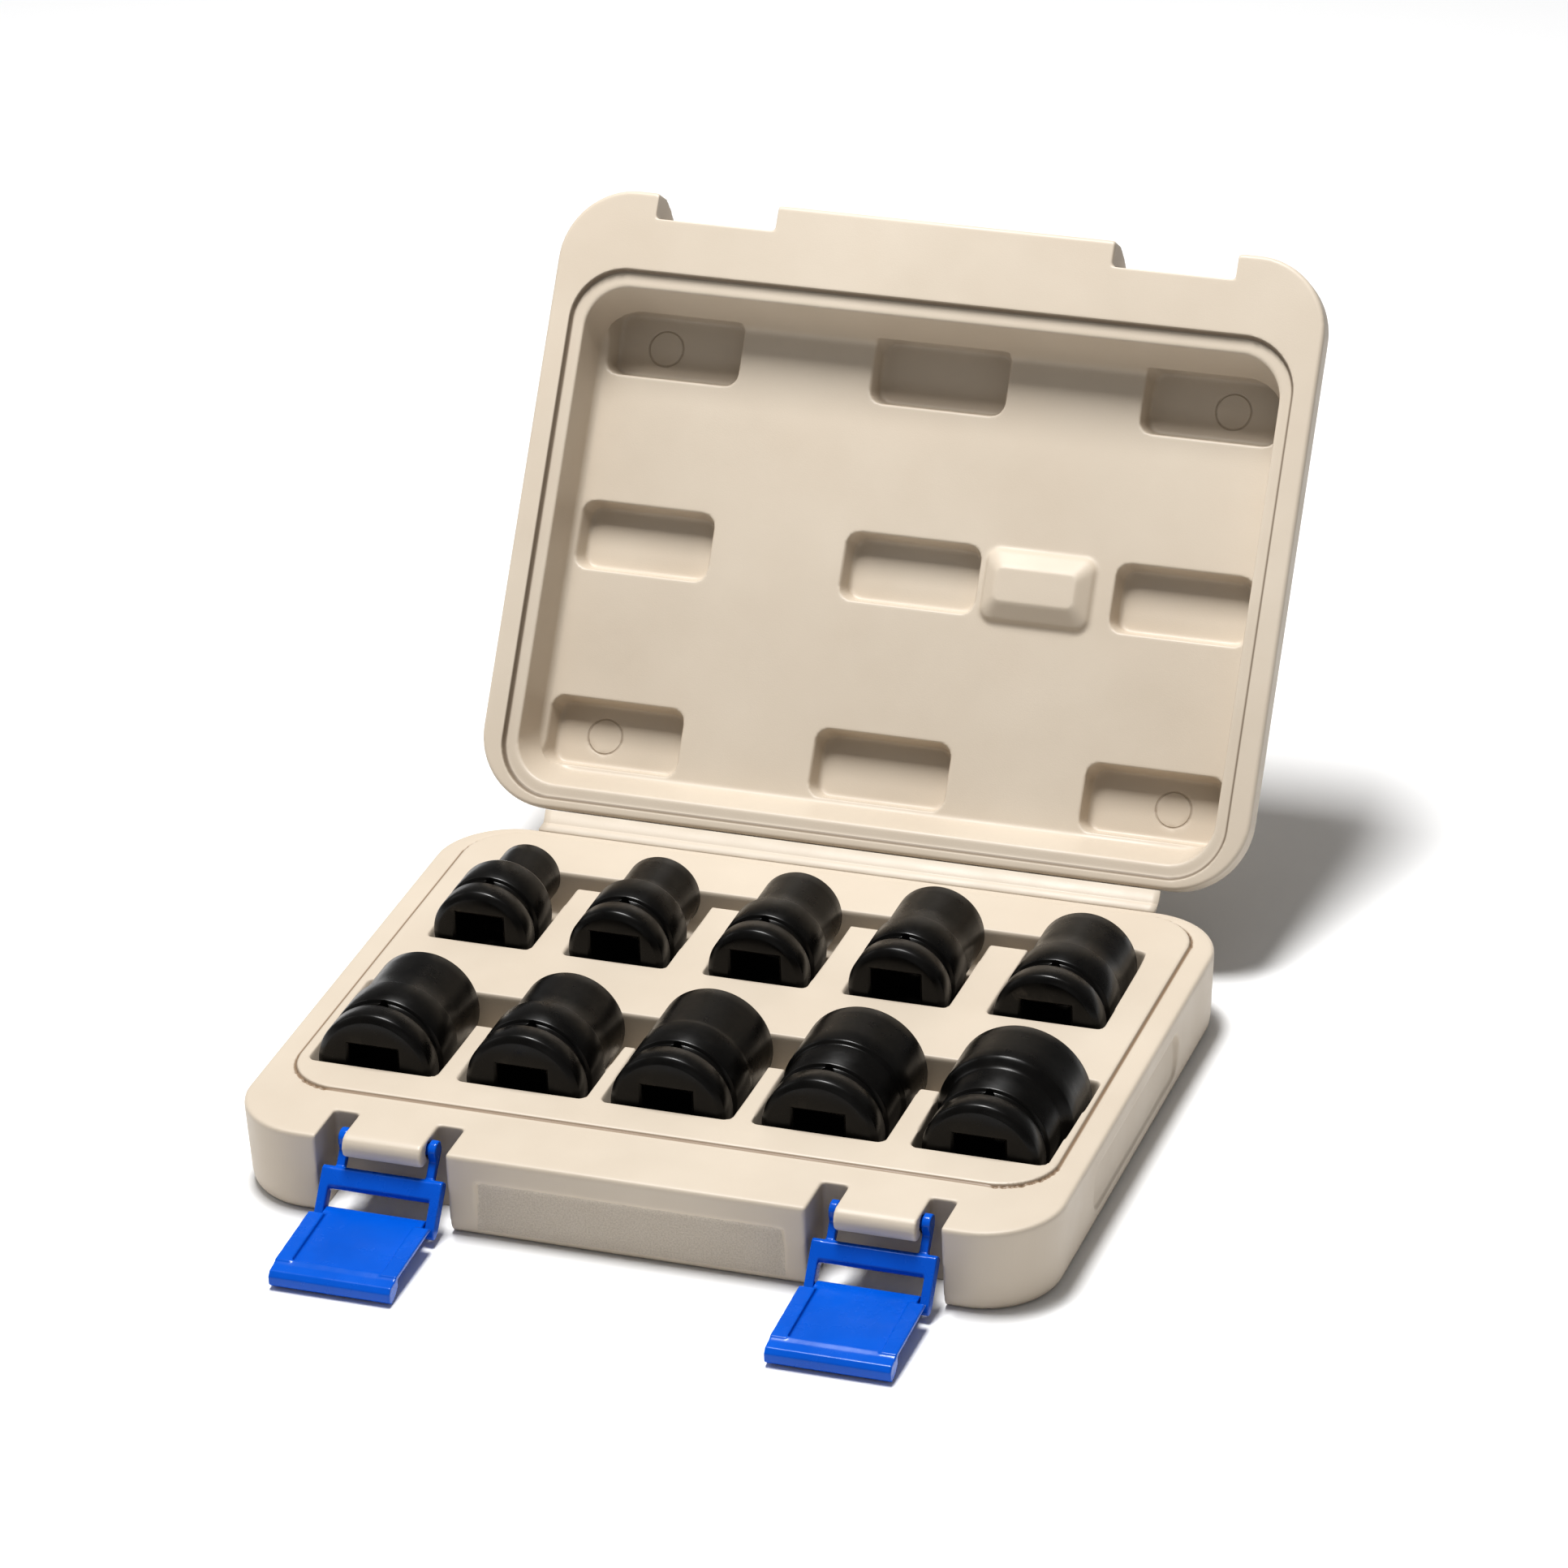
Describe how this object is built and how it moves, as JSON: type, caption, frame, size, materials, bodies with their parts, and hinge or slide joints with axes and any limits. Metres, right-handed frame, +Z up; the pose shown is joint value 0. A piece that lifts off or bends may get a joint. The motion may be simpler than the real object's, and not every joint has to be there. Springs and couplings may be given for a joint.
{
  "type": "impact socket set in a hinged carry case",
  "caption": "Hinged blow-moulded carry case, lid open, with blue toggle latches and pockets that hold loose impact sockets.",
  "frame": {"origin": "middle of the base's flat underside", "axes": "+Z up, +Y from the latches towards the hinge, +X to the right seen from the front"},
  "size_m": [0.21, 0.3134, 0.1642],
  "materials": {
    "case_plastic": "satin polyethylene, fine moulded grain",
    "latch_plastic": "glossy injection moulded plastic",
    "socket_steel": "black phosphated alloy steel, lightly oiled"
  },
  "bodies": {
    "base": {"base_shell": "case_plastic", "hinge_strip_base": "case_plastic"},
    "lid": {"lid_shell": "case_plastic", "hinge_strip_lid": "case_plastic"},
    "latch_link_left": {"latch_link_left": "latch_plastic"},
    "latch_lever_left": {"latch_lever_left": "latch_plastic"},
    "latch_link_right": {"latch_link_right": "latch_plastic"},
    "latch_lever_right": {"latch_lever_right": "latch_plastic"},
    "socket_18": {"socket_18": "socket_steel"},
    "socket_17": {"socket_17": "socket_steel"},
    "socket_19": {"socket_19": "socket_steel"},
    "socket_21": {"socket_21": "socket_steel"},
    "socket_24": {"socket_24": "socket_steel"},
    "socket_10": {"socket_10": "socket_steel"},
    "socket_12": {"socket_12": "socket_steel"},
    "socket_13": {"socket_13": "socket_steel"},
    "socket_14": {"socket_14": "socket_steel"},
    "socket_16": {"socket_16": "socket_steel"}
  },
  "joints": [
    {"name": "lid_hinge", "type": "hinge", "parent": "base", "child": "lid", "pos_m": [0, 0.0868, 0.02285], "axis": [-1, 0, 0], "range_deg": [-123.4, 0]},
    {"name": "latch_link_left_pivot", "type": "hinge", "parent": "base", "child": "latch_link_left", "pos_m": [-0.0629, -0.0762, 0.0194], "axis": [1, 0, 0], "range_deg": [-138, 0]},
    {"name": "latch_lever_left_knee", "type": "hinge", "parent": "latch_link_left", "child": "latch_lever_left", "pos_m": [-0.0629, -0.088, 0.00375], "axis": [-1, 0, 0], "range_deg": [-210.6, 0]},
    {"name": "latch_link_right_pivot", "type": "hinge", "parent": "base", "child": "latch_link_right", "pos_m": [0.0629, -0.0762, 0.0194], "axis": [1, 0, 0], "range_deg": [-138, 0]},
    {"name": "latch_lever_right_knee", "type": "hinge", "parent": "latch_link_right", "child": "latch_lever_right", "pos_m": [0.0629, -0.088, 0.00375], "axis": [-1, 0, 0], "range_deg": [-210.6, 0]},
    {"name": "socket_18_lift", "type": "slide", "parent": "base", "child": "socket_18", "axis": [0, 0, 1], "range_m": [0, 0.06]},
    {"name": "socket_17_lift", "type": "slide", "parent": "base", "child": "socket_17", "axis": [0, 0, 1], "range_m": [0, 0.06]},
    {"name": "socket_19_lift", "type": "slide", "parent": "base", "child": "socket_19", "axis": [0, 0, 1], "range_m": [0, 0.06]},
    {"name": "socket_21_lift", "type": "slide", "parent": "base", "child": "socket_21", "axis": [0, 0, 1], "range_m": [0, 0.06]},
    {"name": "socket_24_lift", "type": "slide", "parent": "base", "child": "socket_24", "axis": [0, 0, 1], "range_m": [0, 0.06]},
    {"name": "socket_10_lift", "type": "slide", "parent": "base", "child": "socket_10", "axis": [0, 0, 1], "range_m": [0, 0.06]},
    {"name": "socket_12_lift", "type": "slide", "parent": "base", "child": "socket_12", "axis": [0, 0, 1], "range_m": [0, 0.06]},
    {"name": "socket_13_lift", "type": "slide", "parent": "base", "child": "socket_13", "axis": [0, 0, 1], "range_m": [0, 0.06]},
    {"name": "socket_14_lift", "type": "slide", "parent": "base", "child": "socket_14", "axis": [0, 0, 1], "range_m": [0, 0.06]},
    {"name": "socket_16_lift", "type": "slide", "parent": "base", "child": "socket_16", "axis": [0, 0, 1], "range_m": [0, 0.06]}
  ],
  "couplings": [
    {"joint": "latch_lever_left_knee", "follows": "latch_link_left_pivot", "ratio": 1.5254},
    {"joint": "latch_lever_right_knee", "follows": "latch_link_right_pivot", "ratio": 1.5254}
  ]
}
